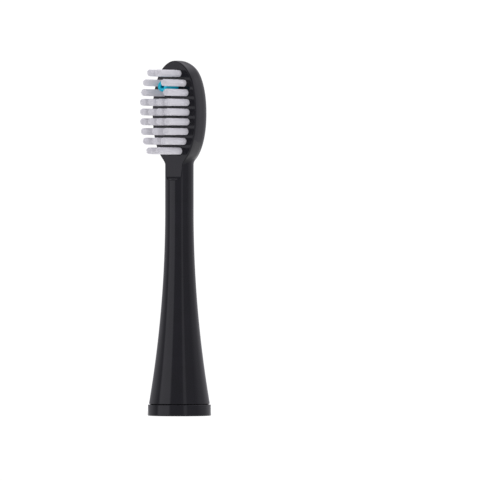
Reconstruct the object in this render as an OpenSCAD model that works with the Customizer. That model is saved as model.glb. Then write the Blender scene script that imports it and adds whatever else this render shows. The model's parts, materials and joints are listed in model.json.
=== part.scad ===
// Replacement head of a sonic toothbrush with a water jet.
// +Z runs from the foot to the tip, the bristles point to -Y, and the origin is
// the centre of the foot ring's underside. Millimetres.

/* [Overall] */
// Height from the foot to the tip
total_h = 83.9; // [82:0.1:86]
// Radius of the slim neck
neck_r = 3.37; // [3.2:0.01:3.6]
// Height where the flare of the skirt begins, going down
flare_top_z = 48.5; // [46:0.5:50]
// Radius of the arc that the flare follows
flare_arc_r = 273; // [240:1:320]

/* [Paddle] */
// Half of the paddle's width
paddle_half_w = 6; // [5.9:0.05:6.4]
// Half height of the paddle's oval above its centre
paddle_up = 12.4; // [12:0.1:13]
// Half height of the paddle's oval below its centre
paddle_down = 12.4; // [12:0.1:13.2]
// Fullness of the paddle's oval: 2 is an ellipse, more is squarer
paddle_power = 2.15; // [2:0.05:2.4]
// Depth of the bristle face in front of the neck's axis
face_depth = 2.45; // [2.2:0.05:2.55]
// Depth of the paddle's back behind the neck's axis
back_depth = 3.7; // [3.5:0.05:3.9]
// Rounding of the edge around the bristle face
face_edge_r = 0.25; // [0.2:0.05:0.5]
// How far the back's rounding comes in from the side
back_edge_in = 1.0; // [0.6:0.05:1.2]
// How deep the back's rounding reaches along the side
back_edge_deep = 2.6; // [1.5:0.1:3]
// Radius of the gentle arc that the face follows below the bristles
scoop_r = 30; // [20:1:60]
// Height where that arc ends and its fillet begins
scoop_end_z = 56.6; // [56:0.1:57.5]
// Radius of the fillet that ends the scoop in the neck
scoop_end_r = 1.2; // [1.1:0.05:1.5]

/* [Foot] */
// Outer radius of the foot ring
ring_r = 7.55; // [7.4:0.01:7.6]
// Height of the foot ring
ring_h = 2.65; // [2.4:0.05:2.7]
// Height where the skirt's outside begins, above a shadow gap
skirt_z = 2.8; // [2.8:0.05:3.1]
// Inner radius of the foot
foot_inner_r = 5.9; // [5.7:0.05:6.0]

/* [Tufts] */
// Radius of a tuft
tuft_r = 0.84; // [0.78:0.01:0.88]
// Free length of a middle tuft in front of the face
tuft_len = 8.8; // [8:0.1:9.5]
// How much longer the tufts of the two end rows are
tuft_rise = 0.5; // [0:0.1:0.8]
// Spacing of the rows
row_pitch = 2.29; // [2.25:0.01:2.32]
// Height of the lowest row
first_row_z = 62.5; // [62.2:0.05:62.8]
// Depth of a tuft hole below the face
tuft_hole_depth = 2.6; // [2.4:0.1:2.8]

/* [Water jet] */
// Outer radius of the nozzle
nozzle_r = 1.25; // [1.1:0.05:1.25]
// Radius of the nozzle's bore
nozzle_bore_r = 0.45; // [0.3:0.05:0.6]
// Length of the nozzle in front of the face
nozzle_len = 5.4; // [4:0.1:7]
// Height of the nozzle's axis
nozzle_z = 77.7; // [77.5:0.05:77.9]
// Radius of the water channel
channel_r = 0.6; // [0.5:0.05:0.7]

/* [Drive] */
// Radius of the round bore for the drive shaft
shaft_r = 2; // [1.9:0.05:2.1]
// Radius of the bore for the shaft's D-shaped tip
tip_r = 1.7; // [1.6:0.05:1.75]
// Distance of the D's flat from the axis
tip_flat = 1.3; // [1.2:0.05:1.4]
// Outer radius of the socket insert
socket_r = 3; // [2.9:0.05:3.05]
// Running clearance of the static fits
static_gap = 0.02; // [0.01:0.01:0.04]

/* [Hidden] */
$fn = 64;
smooth_fn = 56;
arc_fn = 900;
eps = 0.01;

// Each row of tufts from the tip down: the x positions of its tufts.
narrow_row = [-3.06, 0, 3.06];
full_row = [-3.36, -1.12, 1.12, 3.36];
ROW_X = [
    [-1.12, 1.12], [-2.5, 2.5], [-3.06, 3.06],
    full_row, full_row, full_row,
    narrow_row, [-2.5, 0, 2.5], [-1.33, 1.33]
];
rows = len(ROW_X);
function row_z(row) = first_row_z + (rows - row) * row_pitch;
// The rows' ends rise in a fourth-power curve from the middle row to the end rows.
function row_len(row) = tuft_len + tuft_rise * pow((2 * row - rows - 1) / (rows - 1), 4);
function tuft_name(row, col) = str("tuft_r", row, "_c", col);

// Paddle
side_bulge = 0.08;
side_crest_y = -0.6;
paddle_z = total_h - side_bulge - paddle_up;
scoop_z = 60.2;
// The moulding stands this far proud of the face before the face is cut.
proud = 0.06;
neck_end_r = 2.7;
neck_end_z = 65;

// Foot
spigot_z = 1;
spigot_r = 6.5;
spigot_gap = 0.04;
ring_edge_r = 0.35;
ring_top_edge_r = 0.2;

// Inside of the skirt
cavity_top_z = 20;
cavity_top_r = 3.75;
cavity_bend_z = 4;

// Socket insert, from its mouth up
socket_z = 10;
socket_top_z = 31;
mouth_chamfer = 0.4;
tip_z = 20;
seal_z = 27;
seal_pocket_h = 0.8;
seal_pocket_r = 1.52;
seal_ring_r = 1.15;
seal_wire_r = 0.34;
plenum_r = 2.35;
plenum_top_z = 32.2;

// Leaf spring of the socket
eye_y = 1.75;
eye_z = 20.9;
eye_r = 0.4;
eye_clearance = 0.05;
leaf_w = 1.7;
leaf_t = 0.25;
leaf_y = 1.38;
leaf_top_z = 26.6;
bump_z = 24;
bump_depth = 0.2;
slot_w = 1.9;
slot_y = 2.35;

// Water channel, behind the tuft holes
channel_y = 1.7;
nozzle_seat_y = 0.2;

// Tufts
tuft_clearance = 0.04;
tuft_tip_edge = 0.25;
root_gap = 0.9;
anchor_t = 0.25;
anchor_w = 1.62;
anchor_top = 1.5;
anchor_h = 1.0;

// A round bar along Y, from y1 to y2.
module bar_y(r, y1, y2) {
    translate([0, y1, 0]) rotate([-90, 0, 0]) cylinder(r = r, h = y2 - y1);
}

// Puts its children at every tuft's hole, on the face.
module at_tufts() {
    for (row = [1 : rows])
        for (x = ROW_X[row - 1])
            translate([x, -face_depth, row_z(row)]) children();
}

// Half section of the outside: the spigot, the skirt's arc, the neck and its taper.
module outer_profile() {
    translate([0, spigot_z]) square([spigot_r, skirt_z - spigot_z + 1]);
    difference() {
        translate([0, skirt_z]) square([ring_r + 1, flare_top_z - skirt_z]);
        translate([neck_r + flare_arc_r, flare_top_z])
            circle(r = flare_arc_r, $fn = arc_fn);
    }
    polygon([
        [0, flare_top_z - 1], [neck_r, flare_top_z - eps],
        [neck_r, scoop_z], [neck_end_r, neck_end_z], [0, neck_end_z]
    ]);
}

// A sine or cosine bent to the oval's fullness.
function fuller(v) = sign(v) * pow(abs(v), 2 / paddle_power);

// One layer of the paddle's oval, at depth y and pulled in by inset.
module paddle_layer(y, inset) {
    outline = [for (a = [0 : 360 / smooth_fn : 359])
        [(paddle_half_w - inset) * fuller(cos(a)),
         ((a < 180 ? paddle_up : paddle_down) - inset) * fuller(sin(a))]];
    translate([0, y, paddle_z])
        rotate([90, 0, 0]) linear_extrude(height = eps) polygon(outline);
}

// The paddle: one oval slab with rounded edges and slightly crowned sides.
module paddle() {
    quarter = [0 : 30 : 90];
    hull() {
        for (a = quarter)
            paddle_layer(-face_depth - proud + face_edge_r * (1 - sin(a)),
                face_edge_r * (1 - cos(a)));
        paddle_layer(side_crest_y, -side_bulge);
        for (a = quarter)
            paddle_layer(back_depth - back_edge_deep * (1 - sin(a)),
                back_edge_in * (1 - cos(a)));
    }
}

// Points of an arc around a centre, from one angle to another, going down.
function arc_down(centre, r, from, to, steps) = [for (i = [0 : steps])
    let (a = from + (to - from) * i / steps) centre + r * [cos(a), -sin(a)]];

// Space in front of the face: flat, then a gentle arc, then a fillet into the neck.
module face_scoop() {
    turn = asin((scoop_z - scoop_end_z) / scoop_r);
    arc_centre = [-face_depth - scoop_r, scoop_z];
    fillet_centre = arc_centre + (scoop_r - scoop_end_r) * [cos(turn), -sin(turn)];
    front = -face_depth - scoop_r;
    outline = concat([[front, total_h + 1], [-face_depth, total_h + 1]],
        arc_down(arc_centre, scoop_r, 0, turn, 4),
        arc_down(fillet_centre, scoop_end_r, turn, 90, 9),
        [[front, fillet_centre[1] - scoop_end_r]]);
    translate([-ring_r, 0, 0])
        rotate([90, 0, 90]) linear_extrude(height = 2 * ring_r) polygon(outline);
}

// Hollow of the skirt, with the pocket that holds the socket insert.
module skirt_cavity() {
    rotate_extrude()
        polygon([
            [0, spigot_z - 1], [foot_inner_r, spigot_z - 1],
            [foot_inner_r, cavity_bend_z], [cavity_top_r, cavity_top_z],
            [0, cavity_top_z]
        ]);
    translate([0, 0, cavity_top_z - 1])
        cylinder(r = socket_r + static_gap, h = socket_top_z + static_gap - cavity_top_z + 1);
}

// Way of the water from the socket to the nozzle.
module water_channel() {
    translate([0, 0, socket_top_z - eps])
        cylinder(r = plenum_r, h = plenum_top_z - socket_top_z);
    translate([0, channel_y, plenum_top_z - 1])
        cylinder(r = channel_r, h = nozzle_z + channel_r - plenum_top_z + 1);
    translate([0, 0, nozzle_z]) {
        bar_y(0.8 * channel_r, 0, channel_y);
        bar_y(nozzle_r + static_gap, -face_depth - 1, nozzle_seat_y + static_gap);
    }
}

module brush_body() {
    color([0.07, 0.07, 0.075])
        difference() {
            union() {
                rotate_extrude() outer_profile();
                paddle();
            }
            face_scoop();
            skirt_cavity();
            water_channel();
            at_tufts() bar_y(tuft_r + tuft_clearance, -1, tuft_hole_depth);
        }
}

module base_ring() {
    inner_z = spigot_z - spigot_gap;
    color([0.09, 0.09, 0.095])
        rotate_extrude()
            difference() {
                union() {
                    translate([0, ring_edge_r])
                        square([ring_r, ring_h - ring_edge_r - ring_top_edge_r]);
                    square([ring_r - ring_edge_r, ring_h]);
                    translate([0, ring_h - 2 * ring_top_edge_r])
                        square([ring_r - ring_top_edge_r, 2 * ring_top_edge_r]);
                    translate([ring_r - ring_edge_r, ring_edge_r]) circle(r = ring_edge_r);
                    translate([ring_r - ring_top_edge_r, ring_h - ring_top_edge_r])
                        circle(r = ring_top_edge_r);
                }
                translate([-1, -1]) square([foot_inner_r + 1, ring_h + 2]);
                translate([-1, inner_z]) square([spigot_r + spigot_gap + 1, ring_h]);
            }
}

// Bore of the socket: round for the shaft, D-shaped for its tip, then the seal.
module socket_bore() {
    translate([0, 0, socket_z - eps]) cylinder(r = shaft_r, h = tip_z - socket_z + eps);
    translate([0, 0, socket_z - eps])
        cylinder(r1 = shaft_r + mouth_chamfer, r2 = shaft_r, h = mouth_chamfer);
    intersection() {
        translate([0, 0, tip_z - eps]) cylinder(r = tip_r, h = seal_z - tip_z + eps);
        translate([-socket_r, tip_flat - 2 * socket_r, tip_z - 1])
            cube([2 * socket_r, 2 * socket_r, seal_z - tip_z + 1]);
    }
    translate([0, 0, seal_z - eps]) cylinder(r = seal_pocket_r, h = seal_pocket_h + eps);
    translate([0, 0, seal_z]) cylinder(r = channel_r, h = socket_top_z - seal_z + 1);
}

// Pocket of the leaf spring, behind the D's flat, with a round seat for its eye.
module leaf_pocket() {
    translate([-slot_w / 2, tip_flat - 0.2, eye_z])
        cube([slot_w, slot_y - tip_flat + 0.2, seal_z - 0.1 - eye_z]);
    translate([-slot_w / 2, eye_y, eye_z])
        rotate([0, 90, 0]) cylinder(r = eye_r + eye_clearance, h = slot_w);
}

module drive_socket() {
    color([0.85, 0.85, 0.82])
        difference() {
            translate([0, 0, socket_z]) cylinder(r = socket_r, h = socket_top_z - socket_z);
            socket_bore();
            leaf_pocket();
        }
}

// Leaf spring: a rolled eye, a straight tongue and a round contact bump.
module spring_clip() {
    color([0.72, 0.73, 0.75])
        translate([-leaf_w / 2, 0, 0]) {
            translate([0, eye_y, eye_z]) rotate([0, 90, 0]) cylinder(r = eye_r, h = leaf_w);
            translate([0, leaf_y, eye_z]) cube([leaf_w, leaf_t, leaf_top_z - eye_z]);
            intersection() {
                translate([0, leaf_y + bump_depth, bump_z])
                    rotate([0, 90, 0]) cylinder(r = 2 * bump_depth, h = leaf_w);
                translate([0, 0, bump_z - 1]) cube([leaf_w, leaf_y + leaf_t, 2]);
            }
        }
}

module inlet_seal() {
    color([0.16, 0.16, 0.16])
        translate([0, 0, seal_z + seal_pocket_h / 2])
            rotate_extrude() translate([seal_ring_r, 0]) circle(r = seal_wire_r);
}

// Blue tube with rounded lips, seated in the face.
module jet_nozzle() {
    lip_r = (nozzle_r - nozzle_bore_r) / 2;
    wall_mid_r = nozzle_bore_r + lip_r;
    straight = nozzle_seat_y + face_depth + nozzle_len - lip_r;
    color([0.05, 0.62, 0.78])
        translate([0, nozzle_seat_y, nozzle_z])
            rotate([90, 0, 0])
                rotate_extrude() {
                    translate([nozzle_bore_r, 0]) square([2 * lip_r, straight]);
                    translate([wall_mid_r, straight]) circle(r = lip_r);
                }
}

module anchor_plate(grow) {
    translate([-anchor_w / 2 - grow, anchor_top - grow, -anchor_t / 2 - grow])
        cube([anchor_w + 2 * grow, anchor_h + 2 * grow, anchor_t + 2 * grow]);
}

module tuft_anchors() {
    color([0.78, 0.7, 0.5]) at_tufts() anchor_plate(0);
}

// Folded ends of the filaments in their holes, wrapped around the anchors.
module tuft_roots() {
    color([0.82, 0.81, 0.84])
        at_tufts()
            difference() {
                bar_y(tuft_r, root_gap, tuft_hole_depth - static_gap);
                anchor_plate(static_gap);
            }
}

// One tuft: a round heel that turns in its hole, the bundle and its trimmed tip.
module tuft(row, col) {
    color([0.85, 0.84, 0.88])
        translate([ROW_X[row - 1][col - 1], -face_depth, row_z(row)])
            rotate([90, 0, 0]) {
                sphere(r = tuft_r);
                cylinder(r = tuft_r, h = row_len(row) - tuft_tip_edge);
                translate([0, 0, row_len(row) - tuft_tip_edge - eps])
                    cylinder(r1 = tuft_r, r2 = tuft_r - tuft_tip_edge, h = tuft_tip_edge + eps);
            }
}

brush_body();
base_ring();
drive_socket();
spring_clip();
inlet_seal();
jet_nozzle();
tuft_anchors();
tuft_roots();
for (row = [1 : rows])
    for (col = [1 : len(ROW_X[row - 1])])
        tuft(row, col);
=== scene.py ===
"""The looks of the sonic flossing brush head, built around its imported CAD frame."""
import json
import math
import random

import bmesh
import bpy
import numpy as np
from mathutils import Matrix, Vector

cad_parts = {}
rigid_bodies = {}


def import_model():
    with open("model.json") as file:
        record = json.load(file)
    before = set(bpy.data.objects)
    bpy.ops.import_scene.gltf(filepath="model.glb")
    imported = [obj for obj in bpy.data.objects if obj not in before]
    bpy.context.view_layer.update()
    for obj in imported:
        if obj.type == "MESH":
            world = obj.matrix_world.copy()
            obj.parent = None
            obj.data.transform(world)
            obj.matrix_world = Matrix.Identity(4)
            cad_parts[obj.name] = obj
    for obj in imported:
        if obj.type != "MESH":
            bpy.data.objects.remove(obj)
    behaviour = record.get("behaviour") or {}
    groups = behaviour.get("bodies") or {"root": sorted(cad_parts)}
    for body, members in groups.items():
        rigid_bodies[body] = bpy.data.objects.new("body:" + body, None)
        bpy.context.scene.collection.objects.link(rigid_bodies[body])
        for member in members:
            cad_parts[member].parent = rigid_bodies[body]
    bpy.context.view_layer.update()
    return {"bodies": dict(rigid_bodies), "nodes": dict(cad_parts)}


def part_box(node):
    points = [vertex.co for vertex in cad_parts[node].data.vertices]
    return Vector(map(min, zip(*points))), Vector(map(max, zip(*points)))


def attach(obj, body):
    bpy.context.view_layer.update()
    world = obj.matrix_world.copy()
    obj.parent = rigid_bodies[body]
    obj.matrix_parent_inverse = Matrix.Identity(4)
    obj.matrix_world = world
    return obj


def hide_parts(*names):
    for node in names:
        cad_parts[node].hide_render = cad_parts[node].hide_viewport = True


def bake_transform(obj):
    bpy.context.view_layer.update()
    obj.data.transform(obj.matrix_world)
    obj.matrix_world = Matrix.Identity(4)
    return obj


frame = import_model()

MM = 0.001
TAU = 2 * math.pi

# ---------------------------------------------------------------- sizes, in millimetres
# Places that the CAD frame gives.
RING_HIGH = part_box("base_ring")[1] / MM
BODY_LOW, BODY_HIGH = (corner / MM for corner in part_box("brush_body"))
JET_LOW, JET_HIGH = (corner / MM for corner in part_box("jet_nozzle"))

# The moulding's outline, as the CAD has it.
NECK_R = 3.37
FLARE_TOP_Z = 48.5
FLARE_ARC_R = 273.0
SKIRT_Z = 2.8
SPIGOT_Z = BODY_LOW.z
SPIGOT_R = 6.5
TOP_Z = BODY_HIGH.z
PADDLE_HALF_W = 6.0
PADDLE_UP = 12.4
PADDLE_DOWN = 12.4
PADDLE_POWER = 2.15
SIDE_BULGE = 0.08
SIDE_CREST_Y = -0.6
PADDLE_Z = TOP_Z - SIDE_BULGE - PADDLE_UP
FACE_Y = -2.45
BACK_Y = 3.7
SCOOP_Z = 60.2
SCOOP_R = 30.0
SCOOP_END_Z = 56.6
SCOOP_END_R = 1.2

# Edges of the paddle. The back's rounding is an ellipse: this far inwards, this far along the side.
FACE_EDGE_R = 0.25
BACK_EDGE_IN = 1.0
BACK_EDGE_DEEP = 2.6
BACK_CROWN = 0.12
# Below the bristles the face's edge gets sharper, from this height down over this reach.
SCOOP_EDGE_R = 0.12
SCOOP_EDGE_Z = 58.0
SCOOP_EDGE_REACH = 4.0
# Near the tip, above this share of the paddle's half height, the oval is a little
# rounder and the back thinner.
TIP_START = 0.75
TIP_EASE = 0.15
TIP_THIN = 0.7
# The neck ends inside the paddle: how far it goes in, how much it thins, and its rounding.
NECK_END = 5.0
NECK_TAPER = 0.6
NECK_END_R = 1.0
NECK_BLEND = 0.7
SMALL_EDGE_R = 0.12
# The floor of the shadow line between the skirt and the ring, and how far the spigot and
# that floor reach up into the skirt.
GROOVE_R = 6.95
GROOVE_LOW_Z = RING_HIGH.z + 0.02
SPIGOT_ROOT = 1.0

# The foot ring: its clearance on the spigot, how much its outside draws in towards its
# top, and the rounding of its two outer edges.
RING_GAP = 0.04
RING_DRAFT = 0.1
RING_FOOT_EDGE_R = 0.25
RING_TOP_EDGE_R = 0.15

# The hollow of the skirt and the socket's pocket.
FOOT_INNER_R = 5.9
CAVITY_BEND_Z = 4.0
CAVITY_TOP_Z = 20.0
CAVITY_TOP_R = 3.75
POCKET_R = 3.02
POCKET_TOP_Z = 31.02

# Tufts and nozzle.
TUFT_R = 0.84
TUFT_HOLE_R = 0.88
TUFT_HOLE_DEPTH = 2.6
JET_R = (JET_HIGH.x - JET_LOW.x) / 2
JET_BORE_R = 0.45
JET_Z = (JET_LOW.z + JET_HIGH.z) / 2
JET_SEAT_GAP = 0.02

# The grid that the moulding's skin is meshed on: its half width, its pitch across and in the
# paddle, and its steps up the skirt and neck, at the ring and at the edges of the hollow.
SKIN_REACH = 7.4
SKIN_PITCH = 0.18
SKIRT_STEP = 0.6
RING_STEP = 0.3
EDGE_STEP = 0.1


# ---------------------------------------------------------------- tuft places
def tuft_nodes():
    """Every tuft of the frame as (node name, row, x, z, free length), in millimetres."""
    found = []
    for body in sorted(frame["bodies"]):
        if not body.startswith("tuft_row_"):
            continue
        row = int(body.rsplit("_", 1)[1])
        names = [n for n in frame["nodes"] if n.startswith(f"tuft_r{row}_")]
        for name in sorted(names):
            low, high = (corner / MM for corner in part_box(name))
            found.append((name, row, (low.x + high.x) / 2, (low.z + high.z) / 2, FACE_Y - low.y))
    return found


TUFTS = tuft_nodes()


# ---------------------------------------------------------------- the moulding as a distance field
def smooth_step(t):
    t = np.clip(t, 0, 1)
    return t * t * (3 - 2 * t)


def blend_min(a, b, width):
    """Union of two fields with a soft concave corner."""
    h = np.clip(0.5 + 0.5 * (b - a) / width, 0, 1)
    return b + (a - b) * h - width * h * (1 - h)


def round_max(a, b, radius):
    """Intersection of two fields with its edge rounded to a radius."""
    inside = np.minimum(np.maximum(a, b), -radius)
    return inside + np.hypot(np.maximum(a + radius, 0), np.maximum(b + radius, 0))


def outer_radius(z):
    """Radius of the neck and skirt at height z."""
    drop = np.clip(FLARE_TOP_Z - z, 0, None)
    flare = FLARE_ARC_R - np.sqrt(FLARE_ARC_R**2 - drop**2)
    taper = NECK_TAPER * smooth_step((z - SCOOP_Z) / NECK_END)
    return NECK_R + flare - taper


def paddle_field(x, y, z):
    """The oval slab without its front face."""
    up = z - PADDLE_Z
    half_h = np.where(up > 0, PADDLE_UP, PADDLE_DOWN)
    across, along = np.abs(x) / PADDLE_HALF_W, np.abs(up) / half_h
    tip = np.clip((up / PADDLE_UP - TIP_START) / (1 - TIP_START), 0, 1) ** 2
    power = PADDLE_POWER - TIP_EASE * tip
    size = np.maximum((across**power + along**power) ** (1 / power), 0.01)
    steepness = np.hypot(across ** (power - 1) / PADDLE_HALF_W, along ** (power - 1) / half_h)
    outline = (size - 1) * size ** (power - 1) / np.maximum(steepness, 1e-6)
    reach = np.where(y > SIDE_CREST_Y, BACK_Y - SIDE_CREST_Y, SIDE_CREST_Y - FACE_Y)
    outline = outline - SIDE_BULGE * (1 - ((y - SIDE_CREST_Y) / reach) ** 2)
    back = y - (BACK_Y - BACK_CROWN * np.clip(size, 0, 1) ** 2 - TIP_THIN * tip)
    return round_max(outline, back * BACK_EDGE_IN / BACK_EDGE_DEEP, BACK_EDGE_IN)


def face_field(y, z):
    """The bristle face: flat, then a gentle arc, then a fillet into the neck."""
    turn = math.asin((SCOOP_Z - SCOOP_END_Z) / SCOOP_R)
    arc_y = FACE_Y - SCOOP_R
    reach = SCOOP_R - SCOOP_END_R
    fillet_y, fillet_z = arc_y + reach * math.cos(turn), SCOOP_Z - reach * math.sin(turn)
    arc = SCOOP_R - np.hypot(y - arc_y, z - SCOOP_Z)
    fillet = SCOOP_END_R - np.hypot(y - fillet_y, z - fillet_z)
    below = (fillet_z - z) * math.cos(turn) > (y - fillet_y) * math.sin(turn)
    return np.where(z > SCOOP_Z, FACE_Y - y, np.where(below, fillet, arc))


def cavity_field(radial, z):
    """The hollow of the skirt and the pocket of the socket."""
    slope = (z - CAVITY_BEND_Z) / (CAVITY_TOP_Z - CAVITY_BEND_Z)
    wall = FOOT_INNER_R + (CAVITY_TOP_R - FOOT_INNER_R) * np.clip(slope, 0, 1)
    hollow = np.maximum(radial - wall, z - CAVITY_TOP_Z)
    pocket = np.maximum(radial - POCKET_R, z - POCKET_TOP_Z)
    return np.minimum(hollow, pocket)


def hole_field(x, y, z, hole_x, hole_z, radius, depth):
    return np.maximum(np.hypot(x - hole_x, z - hole_z) - radius, y - FACE_Y - depth)


def moulding_field(x, y, z):
    """Signed distance, near enough, to the whole black moulding."""
    radial = np.hypot(x, y)
    neck = round_max(radial - outer_radius(z), z - SCOOP_Z - NECK_END, NECK_END_R)
    neck = round_max(neck, SKIRT_Z - z, SMALL_EDGE_R)
    solid = blend_min(neck, paddle_field(x, y, z), NECK_BLEND)
    soft = smooth_step((z - SCOOP_EDGE_Z) / SCOOP_EDGE_REACH)
    edge_r = SCOOP_EDGE_R + (FACE_EDGE_R - SCOOP_EDGE_R) * soft
    solid = round_max(solid, face_field(y, z), edge_r)
    spigot = round_max(radial - SPIGOT_R, SPIGOT_Z - z, SMALL_EDGE_R)
    groove = np.maximum(radial - GROOVE_R, GROOVE_LOW_Z - z)
    foot = np.maximum(np.minimum(spigot, groove), z - SKIRT_Z - SPIGOT_ROOT)
    solid = np.minimum(solid, foot)
    solid = round_max(solid, -cavity_field(radial, z), SMALL_EDGE_R)
    if np.max(z) > SCOOP_Z:
        for _, _, hole_x, hole_z, _ in TUFTS:
            hole = hole_field(x, y, z, hole_x, hole_z, TUFT_HOLE_R, TUFT_HOLE_DEPTH)
            solid = round_max(solid, -hole, SMALL_EDGE_R)
        seat = hole_field(x, y, z, 0, JET_Z, JET_R + JET_SEAT_GAP, JET_HIGH.y - FACE_Y)
        solid = round_max(solid, -seat, SMALL_EDGE_R)
    return solid


# ---------------------------------------------------------------- meshing a field
def stepped(stops):
    """Grid lines through (start, end, step) stretches."""
    lines = [np.linspace(a, b, max(int(round((b - a) / s)), 1), endpoint=False)
             for a, b, s in stops]
    return np.append(np.concatenate(lines), stops[-1][1])


def field_gradient(field, points, reach=2e-3):
    parts = []
    for axis in range(3):
        step = np.zeros(3)
        step[axis] = reach
        ahead = field(*(points + step).T)
        behind = field(*(points - step).T)
        parts.append((ahead - behind) / (2 * reach))
    return np.stack(parts, 1)


def onto_surface(field, points, rounds=4):
    for _ in range(rounds):
        slope = field_gradient(field, points)
        steep = np.maximum((slope**2).sum(1), 1e-3)
        points = points - (field(*points.T) / steep)[:, None] * slope
    return points


def net_surface(field, xs, ys, zs):
    """Quads around the zero surface of a field: one point in each grid cell it crosses."""
    slabs = [field(*np.meshgrid(xs, ys, zs[i:i + 1], indexing="ij")) for i in range(len(zs))]
    inside = np.concatenate(slabs, 2) < 0
    value = np.concatenate(slabs, 2)
    corners = [inside[a:len(xs) - 1 + a, b:len(ys) - 1 + b, c:len(zs) - 1 + c]
               for a in (0, 1) for b in (0, 1) for c in (0, 1)]
    filled = sum(c.astype(np.int8) for c in corners)
    crossed = (filled > 0) & (filled < 8)
    index = np.full(crossed.shape, -1)
    cells = np.argwhere(crossed)
    index[crossed] = np.arange(len(cells))

    lines = (xs, ys, zs)
    total = np.zeros((len(cells), 3))
    count = np.zeros(len(cells))
    quads = []
    for axis in range(3):
        u, v = (axis + 1) % 3, (axis + 2) % 3
        low = [slice(None)] * 3
        high = [slice(None)] * 3
        low[axis], high[axis] = slice(0, -1), slice(1, None)
        a_in, b_in = inside[tuple(low)], inside[tuple(high)]
        edges = np.argwhere(a_in != b_in)
        keep = (edges[:, u] > 0) & (edges[:, v] > 0)
        keep &= (edges[:, u] < len(lines[u]) - 1) & (edges[:, v] < len(lines[v]) - 1)
        edges = edges[keep]
        far = edges.copy()
        far[:, axis] += 1
        va, vb = value[tuple(edges.T)], value[tuple(far.T)]
        share = va / (va - vb)
        place = np.stack([lines[k][edges[:, k]] for k in range(3)], 1)
        start, end = lines[axis][edges[:, axis]], lines[axis][far[:, axis]]
        place[:, axis] = start + share * (end - start)
        ring = []
        for du, dv in ((-1, -1), (0, -1), (0, 0), (-1, 0)):
            cell = edges.copy()
            cell[:, u] += du
            cell[:, v] += dv
            at = index[tuple(cell.T)]
            np.add.at(total, at, place)
            np.add.at(count, at, 1)
            ring.append(at)
        ring = np.stack(ring, 1)
        ring[va > 0] = ring[va > 0][:, ::-1]
        quads.append(ring)
    return total / count[:, None], np.concatenate(quads)


def relax(field, points, quads, rounds=4, share=0.5):
    """Evens the points out along the surface without leaving it."""
    for _ in range(rounds):
        total = np.zeros_like(points)
        count = np.zeros(len(points))
        for a, b in ((0, 1), (1, 2), (2, 3), (3, 0)):
            np.add.at(total, quads[:, a], points[quads[:, b]])
            np.add.at(count, quads[:, a], 1)
        pull = total / count[:, None] - points
        normal = field_gradient(field, points)
        normal /= np.maximum(np.linalg.norm(normal, axis=1), 1e-6)[:, None]
        pull -= (pull * normal).sum(1)[:, None] * normal
        points = onto_surface(field, points + share * pull, 2)
    return points


def mesh_piece(name, points_mm, faces, material, normals=None):
    """A mesh object from points in millimetres, smooth shaded."""
    mesh = bpy.data.meshes.new(name)
    mesh.from_pydata((np.asarray(points_mm) * MM).tolist(), [], [list(f) for f in faces])
    mesh.validate()
    mesh.shade_smooth()
    if normals is not None:
        mesh.normals_split_custom_set_from_vertices(normals.tolist())
    obj = bpy.data.objects.new(name, mesh)
    bpy.context.scene.collection.objects.link(obj)
    mesh.materials.append(material)
    return obj


def make_moulding(material):
    """The black moulding as one closed skin, with the field's own normals."""
    across = stepped([(-SKIN_REACH, SKIN_REACH, SKIN_PITCH)])
    # The steps are fine at the spigot's foot, the shadow line and the ends of the hollow.
    up = stepped([
        (0.75, 1.35, EDGE_STEP), (1.35, 2.55, RING_STEP), (2.55, 3.35, EDGE_STEP),
        (3.35, 19.7, SKIRT_STEP), (19.7, 20.3, EDGE_STEP), (20.3, 30.7, SKIRT_STEP),
        (30.7, 31.3, EDGE_STEP), (31.3, 54.5, SKIRT_STEP), (54.5, TOP_Z + 0.3, SKIN_PITCH),
    ])
    points, quads = net_surface(moulding_field, across, across, up)
    points = onto_surface(moulding_field, points)
    points = relax(moulding_field, points, quads)
    normals = field_gradient(moulding_field, points)
    normals /= np.linalg.norm(normals, axis=1)[:, None]
    return mesh_piece("moulding", points, quads, material, normals)


# ---------------------------------------------------------------- turned pieces
def turned(name, profile, material, segments=128, place=None):
    """A closed half section of (radius, height) points turned around an axis."""
    place = place or (lambda r, h, a: (r * math.cos(a), r * math.sin(a), h))
    count = len(profile)
    points = [place(r, h, TAU * s / segments) for s in range(segments) for r, h in profile]
    faces = []
    for s in range(segments):
        here, there = s * count, ((s + 1) % segments) * count
        for i in range(count):
            j = (i + 1) % count
            faces.append((here + i, there + i, there + j, here + j))
    obj = mesh_piece(name, points, faces, material)
    fix = bmesh.new()
    fix.from_mesh(obj.data)
    bmesh.ops.recalc_face_normals(fix, faces=fix.faces)
    fix.to_mesh(obj.data)
    fix.free()
    obj.data.shade_smooth()
    # Large flat faces keep their own normals, so only the corners shade as round.
    obj.modifiers.new("flat_faces", "WEIGHTED_NORMAL").weight = 100
    return obj


def rounded_profile(corners, steps=6):
    """A closed half section from (radius, height, corner radius) points."""
    outline = []
    for i, (r, h, bend) in enumerate(corners):
        here = Vector((r, h))
        before = (Vector(corners[i - 1][:2]) - here).normalized()
        after = (Vector(corners[(i + 1) % len(corners)][:2]) - here).normalized()
        half = before.angle(after) / 2
        reach = bend / math.tan(half)
        centre = here + (before + after).normalized() * (bend / math.sin(half))
        first, last = here + before * reach - centre, here + after * reach - centre
        sweep = first.angle_signed(last)
        for k in range(steps + 1):
            turn = -sweep * k / steps
            spun = Vector((first.x * math.cos(turn) - first.y * math.sin(turn),
                           first.x * math.sin(turn) + first.y * math.cos(turn)))
            outline.append(tuple(centre + spun))
    return outline


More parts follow.
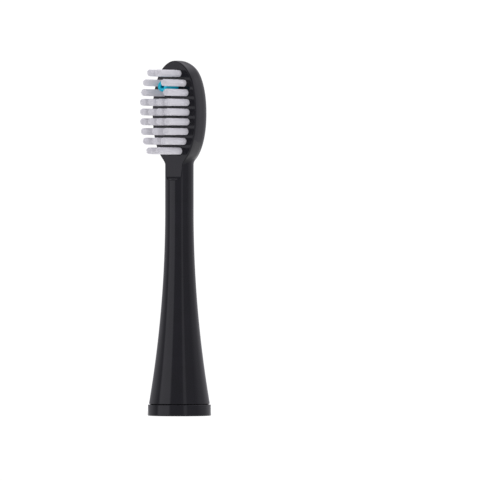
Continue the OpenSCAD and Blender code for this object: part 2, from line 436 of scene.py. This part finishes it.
def make_foot_ring(material):
    """The foot ring: a narrow lip under the spigot and a wider bore around it."""
    ring_r, ring_h = RING_HIGH.x, RING_HIGH.z
    lip_z, bore_r = SPIGOT_Z - RING_GAP, SPIGOT_R + RING_GAP
    profile = rounded_profile([
        (FOOT_INNER_R, 0, SMALL_EDGE_R), (ring_r, 0, RING_FOOT_EDGE_R),
        (ring_r - RING_DRAFT, ring_h, RING_TOP_EDGE_R), (bore_r, ring_h, 0.1),
        (bore_r, lip_z, 0.05), (FOOT_INNER_R, lip_z, 0.1),
    ])
    return turned("foot_ring", profile, material)


def make_nozzle(material):
    """The blue tube: a straight bore, a wall and a rounded lip."""
    back, tip = JET_HIGH.y, JET_LOW.y
    wall = JET_R - JET_BORE_R

    def lay(r, h, a):
        return (r * math.cos(a), h, JET_Z + r * math.sin(a))

    lip_r = 0.3 * wall
    profile = rounded_profile([
        (JET_BORE_R, tip, lip_r), (JET_R, tip, lip_r), (JET_R, back, 0.1), (JET_BORE_R, back, 0.05),
    ])
    return turned("jet_tube", profile, material, 64, lay)


# ---------------------------------------------------------------- tufts
FILAMENT_R = 0.084
FILAMENT_SPACING = 0.163
FILAMENT_SIDES = 6
# How far a filament may stand off its place in the bundle, and lean over its length.
FILAMENT_SHAKE = 0.1 * FILAMENT_R
FILAMENT_LEAN = 0.02
# Rings of a filament by distance in front of the face; they stand close together up to BEND_END.
BEND_END = 2.9
FILAMENT_RINGS = [-0.6, 0, 0.7, 1.4, 2.1, BEND_END, 5.5]
# Distances back from a filament's end, and the share of its radius there.
FILAMENT_TIP = [(0.09, 1), (0.03, 0.75), (0, 0.3)]
# How uneven the filaments' ends are, and how much shorter those at the bundle's rim are.
UNEVEN_ENDS = 0.26
RIM_DROP = 0.12


def filament_places(rng):
    """Centres of the filaments in one bundle: hexagonal packing, shaken a little."""
    reach = TUFT_R - FILAMENT_R
    rows = int(reach / (FILAMENT_SPACING * math.sqrt(0.75))) + 1
    spin = rng.uniform(0, TAU)
    places = []
    for j in range(-rows, rows + 1):
        for i in range(-rows - 1, rows + 2):
            u = (i + 0.5 * (j % 2)) * FILAMENT_SPACING
            v = j * FILAMENT_SPACING * math.sqrt(0.75)
            if math.hypot(u, v) > reach:
                continue
            u += rng.uniform(-1, 1) * FILAMENT_SHAKE
            v += rng.uniform(-1, 1) * FILAMENT_SHAKE
            places.append((u * math.cos(spin) - v * math.sin(spin),
                           u * math.sin(spin) + v * math.cos(spin)))
    return places


def make_tuft(name, x, z, free_length, material, rng):
    """One bundle of straight filaments with rounded ends."""
    levels = len(FILAMENT_RINGS) + len(FILAMENT_TIP)
    points, faces = [], []
    for u, v in filament_places(rng):
        rim = (math.hypot(u, v) / TUFT_R) ** 4
        length = free_length - rng.uniform(0, UNEVEN_ENDS) - RIM_DROP * rim
        rings = [(along, 1) for along in FILAMENT_RINGS]
        rings += [(length - back, size) for back, size in FILAMENT_TIP]
        lean_u, lean_v = (rng.uniform(-1, 1) * FILAMENT_LEAN for _ in range(2))
        first = len(points)
        for along, size in rings:
            out = max(along, 0) / free_length
            for k in range(FILAMENT_SIDES):
                a = TAU * k / FILAMENT_SIDES
                points.append((
                    x + u + lean_u * out + FILAMENT_R * size * math.cos(a),
                    FACE_Y - along,
                    z + v + lean_v * out + FILAMENT_R * size * math.sin(a),
                ))
        for level in range(levels - 1):
            for k in range(FILAMENT_SIDES):
                a = first + level * FILAMENT_SIDES + k
                b = first + level * FILAMENT_SIDES + (k + 1) % FILAMENT_SIDES
                faces.append((a, b, b + FILAMENT_SIDES, a + FILAMENT_SIDES))
        faces.append(tuple(first + k for k in reversed(range(FILAMENT_SIDES))))
        last = first + (levels - 1) * FILAMENT_SIDES
        faces.append(tuple(last + k for k in range(FILAMENT_SIDES)))
    return mesh_piece("bundle_" + name[len("tuft_"):], points, faces, material)


# ---------------------------------------------------------------- materials
def new_material(name, color, roughness, **settings):
    """A Principled material; returns it with its nodes, links and shader."""
    material = bpy.data.materials.new(name)
    material.use_nodes = True
    nodes, links = material.node_tree.nodes, material.node_tree.links
    principled = nodes["Principled BSDF"]
    principled.inputs["Base Color"].default_value = (*color, 1)
    principled.inputs["Roughness"].default_value = roughness
    for socket, value in settings.items():
        principled.inputs[socket.replace("_", " ")].default_value = value
    return material, nodes, links, principled


def object_noise(nodes, links, scale, detail=3.0, stretch=(1, 1, 1)):
    """Noise in the object's own space; scale is per metre."""
    coords = nodes.new("ShaderNodeTexCoord")
    mapping = nodes.new("ShaderNodeMapping")
    mapping.inputs["Scale"].default_value = stretch
    noise = nodes.new("ShaderNodeTexNoise")
    noise.inputs["Scale"].default_value = scale
    noise.inputs["Detail"].default_value = detail
    links.new(coords.outputs["Object"], mapping.inputs["Vector"])
    links.new(mapping.outputs["Vector"], noise.inputs["Vector"])
    return noise.outputs["Fac"]


def vary_color(nodes, links, principled, factor, dark, light):
    """Base colour from dark to light over the middle of the factor's range."""
    ramp = nodes.new("ShaderNodeValToRGB")
    ramp.color_ramp.elements[0].position = 0.3
    ramp.color_ramp.elements[0].color = (*dark, 1)
    ramp.color_ramp.elements[1].position = 0.7
    ramp.color_ramp.elements[1].color = (*light, 1)
    links.new(factor, ramp.inputs["Fac"])
    links.new(ramp.outputs["Color"], principled.inputs["Base Color"])


def vary_roughness(nodes, links, principled, factor, low, high):
    spread = nodes.new("ShaderNodeMapRange")
    spread.inputs["To Min"].default_value = low
    spread.inputs["To Max"].default_value = high
    links.new(factor, spread.inputs["Value"])
    links.new(spread.outputs["Result"], principled.inputs["Roughness"])


def add_bump(nodes, links, principled, factor, depth_mm, strength):
    bump = nodes.new("ShaderNodeBump")
    bump.inputs["Strength"].default_value = strength
    bump.inputs["Distance"].default_value = depth_mm * MM
    links.new(factor, bump.inputs["Height"])
    links.new(bump.outputs["Normal"], principled.inputs["Normal"])


def black_plastic(name, rough_low, rough_high):
    """Smooth black moulding with faint clouds and a fine grain."""
    dark, light = (0.0042, 0.0040, 0.0062), (0.0060, 0.0057, 0.0087)
    material, nodes, links, shader = new_material(name, dark, rough_low, Specular_IOR_Level=0.2)
    clouds = object_noise(nodes, links, 260, 4)
    vary_color(nodes, links, shader, clouds, dark, light)
    vary_roughness(nodes, links, shader, clouds, rough_low, rough_high)
    grain = object_noise(nodes, links, 5200, 2)
    add_bump(nodes, links, shader, grain, 0.004, 0.25)
    return material


def blue_elastomer():
    """Translucent soft blue plastic."""
    dark, light = (0.001, 0.44, 0.60), (0.002, 0.53, 0.69)
    material, nodes, links, shader = new_material(
        "blue_elastomer", dark, 0.34, Specular_IOR_Level=0.25,
        Subsurface_Weight=0.25, Subsurface_Scale=0.8 * MM)
    clouds = object_noise(nodes, links, 900, 3)
    vary_color(nodes, links, shader, clouds, dark, light)
    vary_roughness(nodes, links, shader, clouds, 0.28, 0.42)
    return material


def bristle_nylon():
    """Translucent nylon with a painted glow: the little emission lifts the bundles' shaded sides,
    standing in for light passed on inside a bundle.
    """
    dark, light = (0.44, 0.435, 0.455), (0.54, 0.535, 0.555)
    material, nodes, links, shader = new_material(
        # The emission below is a painted glow that brightens the tufts where they stand in shade.
        "bristle_nylon", dark, 0.35, Emission_Color=(1, 0.98, 1.06, 1),
        Emission_Strength=0.155, Transmission_Weight=0.1, IOR=1.53,
        Subsurface_Weight=0.3, Subsurface_Radius=(1, 1, 1), Subsurface_Scale=0.5 * MM)
    streaks = object_noise(nodes, links, 7000, 2, (1, 0.04, 1))
    vary_color(nodes, links, shader, streaks, dark, light)
    vary_roughness(nodes, links, shader, streaks, 0.3, 0.45)
    return material


def acetal():
    """Natural acetal, slightly uneven, for the socket."""
    dark, light = (0.66, 0.66, 0.63), (0.76, 0.76, 0.73)
    material, nodes, links, shader = new_material("acetal", dark, 0.4)
    clouds = object_noise(nodes, links, 500, 3)
    vary_color(nodes, links, shader, clouds, dark, light)
    vary_roughness(nodes, links, shader, clouds, 0.34, 0.48)
    return material


def drawn_metal(name, dark, light, stretch):
    """Metal strip with fine drawing lines; stretch is small along the lines."""
    material, nodes, links, shader = new_material(name, dark, 0.3, Metallic=1.0)
    lines = object_noise(nodes, links, 9000, 3, stretch)
    vary_color(nodes, links, shader, lines, dark, light)
    vary_roughness(nodes, links, shader, lines, 0.22, 0.4)
    return material


def seal_rubber():
    """Matt black rubber."""
    dark, light = (0.016, 0.016, 0.016), (0.03, 0.03, 0.03)
    material, nodes, links, shader = new_material("seal_rubber", dark, 0.6)
    clouds = object_noise(nodes, links, 2500, 4)
    vary_color(nodes, links, shader, clouds, dark, light)
    vary_roughness(nodes, links, shader, clouds, 0.55, 0.75)
    return material


# ---------------------------------------------------------------- scene
def build_object():
    """Makes every piece, rides the moulding, ring and nozzle on their bodies and gives the carried
    CAD nodes their finish.
    """
    black = black_plastic("black_plastic", 0.08, 0.12)
    black_ring = black_plastic("black_plastic_ring", 0.08, 0.12)
    nylon = bristle_nylon()

    moulding = make_moulding(black)
    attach(moulding, "head")
    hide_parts("brush_body")

    ring = make_foot_ring(black_ring)
    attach(ring, "foot_ring")
    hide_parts("base_ring")

    nozzle = make_nozzle(blue_elastomer())
    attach(nozzle, "head")
    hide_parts("jet_nozzle")

    for number, (name, row, x, z, length) in enumerate(TUFTS):
        bundle = make_tuft(name, x, z, length, nylon, random.Random(100 + number))
        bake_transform(bundle)
        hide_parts(name)

    steel = drawn_metal("spring_steel", (0.5, 0.51, 0.53), (0.66, 0.67, 0.69), (1, 1, 0.05))
    brass = drawn_metal("anchor_metal", (0.7, 0.58, 0.34), (0.84, 0.72, 0.48), (0.05, 1, 1))
    finishes = {
        "drive_socket": acetal(), "spring_clip": steel, "inlet_seal": seal_rubber(),
        "tuft_anchors": brass, "tuft_roots": nylon,
    }
    for node, material in finishes.items():
        mesh = frame["nodes"][node].data
        mesh.materials.clear()
        mesh.materials.append(material)


# The camera stands at this azimuth from the bristle side, level with the head, far away.
VIEW_AZIMUTH = math.radians(31)
VIEW_DISTANCE = 2.0
SENSOR_WIDTH = 36
FRAME_WIDTH = 113.66 * MM
CENTRE_RIGHT = 14.44 * MM
CENTRE_HEIGHT = 41.4 * MM
TO_CAMERA = Vector((math.sin(VIEW_AZIMUTH), -math.cos(VIEW_AZIMUTH), 0))
TO_RIGHT = Vector((math.cos(VIEW_AZIMUTH), math.sin(VIEW_AZIMUTH), 0))
UP = Vector((0, 0, 1))


def make_camera():
    """A long lens, level with the middle of the head, with the head left of the centre."""
    data = bpy.data.cameras.new("camera")
    data.sensor_width = SENSOR_WIDTH
    data.lens = SENSOR_WIDTH * VIEW_DISTANCE / FRAME_WIDTH
    camera = bpy.data.objects.new("camera", data)
    bpy.context.scene.collection.objects.link(camera)
    target = TO_RIGHT * CENTRE_RIGHT + UP * CENTRE_HEIGHT
    camera.location = target + TO_CAMERA * VIEW_DISTANCE
    camera.rotation_euler = (-TO_CAMERA).to_track_quat("-Z", "Y").to_euler()
    bpy.context.scene.camera = camera


# The floor's disc, just below the foot, and its glow: near the head, further out, and as
# the camera sees it.
FLOOR_R = 240 * MM
FLOOR_Z = -0.05 * MM
FLOOR_SIDES = 96
GLOW_NEAR_R = 30 * MM
GLOW_FAR_R = 90 * MM
FLOOR_GLOW_NEAR = 0.8
FLOOR_GLOW_FAR = 1.15
FLOOR_SEEN = 0.95


def make_floor():
    """A small pale disc that glows a little, as a light table does, and is clear from below."""
    mesh = bpy.data.meshes.new("floor")
    turns = [TAU * k / FLOOR_SIDES for k in range(FLOOR_SIDES)]
    rim = [(FLOOR_R * math.cos(a), FLOOR_R * math.sin(a), FLOOR_Z) for a in turns]
    mesh.from_pydata(rim, [], [tuple(range(FLOOR_SIDES))])
    floor = bpy.data.objects.new("floor", mesh)
    bpy.context.scene.collection.objects.link(floor)
    material, nodes, links, shader = new_material("floor", (0.1, 0.1, 0.1), 0.8)
    shader.inputs["Emission Color"].default_value = (1, 1, 1, 1)
    coords = nodes.new("ShaderNodeTexCoord")
    away = nodes.new("ShaderNodeVectorMath")
    away.operation = "LENGTH"
    links.new(coords.outputs["Object"], away.inputs[0])
    glow = nodes.new("ShaderNodeMapRange")
    glow.interpolation_type = "SMOOTHSTEP"
    glow.inputs["From Min"].default_value = GLOW_NEAR_R
    glow.inputs["From Max"].default_value = GLOW_FAR_R
    glow.inputs["To Min"].default_value = FLOOR_GLOW_NEAR
    glow.inputs["To Max"].default_value = FLOOR_GLOW_FAR
    links.new(away.outputs["Value"], glow.inputs["Value"])
    rays = nodes.new("ShaderNodeLightPath")
    level = nodes.new("ShaderNodeMix")
    links.new(rays.outputs["Is Camera Ray"], level.inputs["Factor"])
    links.new(glow.outputs["Result"], level.inputs["A"])
    level.inputs["B"].default_value = FLOOR_SEEN
    links.new(level.outputs["Result"], shader.inputs["Emission Strength"])
    side = nodes.new("ShaderNodeNewGeometry")
    clear = nodes.new("ShaderNodeBsdfTransparent")
    one_way = nodes.new("ShaderNodeMixShader")
    links.new(side.outputs["Backfacing"], one_way.inputs["Fac"])
    links.new(shader.outputs["BSDF"], one_way.inputs[1])
    links.new(clear.outputs["BSDF"], one_way.inputs[2])
    links.new(one_way.outputs["Shader"], nodes["Material Output"].inputs["Surface"])
    mesh.materials.append(material)


# Brightness of the studio around the head, by angle from the camera's direction to the right.
STUDIO = [
    (-180, 0.5), (-150, 0.5), (-115, 0.95), (-89, 0.65), (-80, 2.1), (-39, 2.1),
    (-33, 0.78), (0, 0.75), (14, 0.85), (18, 1.6), (26, 1.6), (30, 0.9), (60, 0.85),
    (66, 0.8), (76, 0.95), (90, 1.1), (106, 0.98), (125, 1.0), (140, 0.75), (180, 0.5),
]
LIGHT_TINT = (1.0, 0.985, 1.05)
# The walls fade to this level between two heights; heights are sines above the horizon.
WALL_TOP_START = 0.32
WALL_TOP_END = 0.5
WALL_TOP_LEVEL = 0.3
# The ceiling: its brightness, how far it leans to the back right, and where it sets in.
OVERHEAD = 2.0
OVERHEAD_LEAN = 0.2
OVERHEAD_START = 0.55
OVERHEAD_END = 0.95
# Brightness of the plain background that the camera sees.
BACKDROP_SEEN = 1.05


def make_light():
    """A soft studio painted on the world: panels around the head and a bright ceiling."""
    world = bpy.data.worlds.new("studio")
    bpy.context.scene.world = world
    world.use_nodes = True
    nodes, links = world.node_tree.nodes, world.node_tree.links
    nodes.clear()

    def maths(operation, first, second=None):
        node = nodes.new("ShaderNodeMath")
        node.operation = operation
        for socket, value in zip(node.inputs, (first, second)):
            if isinstance(value, (int, float)):
                socket.default_value = value
            elif value is not None:
                links.new(value, socket)
        return node.outputs["Value"]

    def along(direction):
        node = nodes.new("ShaderNodeVectorMath")
        node.operation = "DOT_PRODUCT"
        links.new(coords.outputs["Generated"], node.inputs[0])
        node.inputs[1].default_value = direction
        return node.outputs["Value"]

    coords = nodes.new("ShaderNodeTexCoord")
    angle = maths("ARCTAN2", along(TO_RIGHT), along(TO_CAMERA))
    turn = maths("ADD", maths("DIVIDE", angle, TAU), 0.5)
    ramp = nodes.new("ShaderNodeValToRGB")
    links.new(turn, ramp.inputs["Fac"])
    stops = ramp.color_ramp.elements
    while len(stops) < len(STUDIO):
        stops.new(0.5)
    for stop, (degrees, _) in zip(stops, STUDIO):
        stop.position = (degrees + 180) / 360
    for stop, (_, level) in zip(stops, STUDIO):
        stop.color = (*(level * tint for tint in LIGHT_TINT), 1)

    def step_between(value, start, end, before, after):
        node = nodes.new("ShaderNodeMapRange")
        node.interpolation_type = "SMOOTHSTEP"
        for socket, number in (("From Min", start), ("From Max", end),
                               ("To Min", before), ("To Max", after)):
            node.inputs[socket].default_value = number
        links.new(value, node.inputs["Value"])
        return node.outputs["Result"]

    walls = nodes.new("ShaderNodeBackground")
    fade = step_between(along(UP), WALL_TOP_START, WALL_TOP_END, 1, WALL_TOP_LEVEL)
    links.new(ramp.outputs["Color"], walls.inputs["Color"])
    links.new(fade, walls.inputs["Strength"])
    ceiling = nodes.new("ShaderNodeBackground")
    ceiling.inputs["Color"].default_value = (*LIGHT_TINT, 1)
    ceiling.inputs["Strength"].default_value = OVERHEAD
    zenith = (UP + OVERHEAD_LEAN * (TO_RIGHT - TO_CAMERA)).normalized()
    room = nodes.new("ShaderNodeMixShader")
    links.new(step_between(along(zenith), OVERHEAD_START, OVERHEAD_END, 0, 1), room.inputs["Fac"])
    links.new(walls.outputs["Background"], room.inputs[1])
    links.new(ceiling.outputs["Background"], room.inputs[2])

    seen = nodes.new("ShaderNodeBackground")
    seen.inputs["Color"].default_value = (1, 1, 1, 1)
    seen.inputs["Strength"].default_value = BACKDROP_SEEN
    rays = nodes.new("ShaderNodeLightPath")
    mix = nodes.new("ShaderNodeMixShader")
    out = nodes.new("ShaderNodeOutputWorld")
    links.new(rays.outputs["Is Camera Ray"], mix.inputs["Fac"])
    links.new(room.outputs["Shader"], mix.inputs[1])
    links.new(seen.outputs["Background"], mix.inputs[2])
    links.new(mix.outputs["Shader"], out.inputs["Surface"])


scene = bpy.context.scene
scene.view_settings.view_transform = "Standard"
make_camera()
build_object()
make_floor()
make_light()
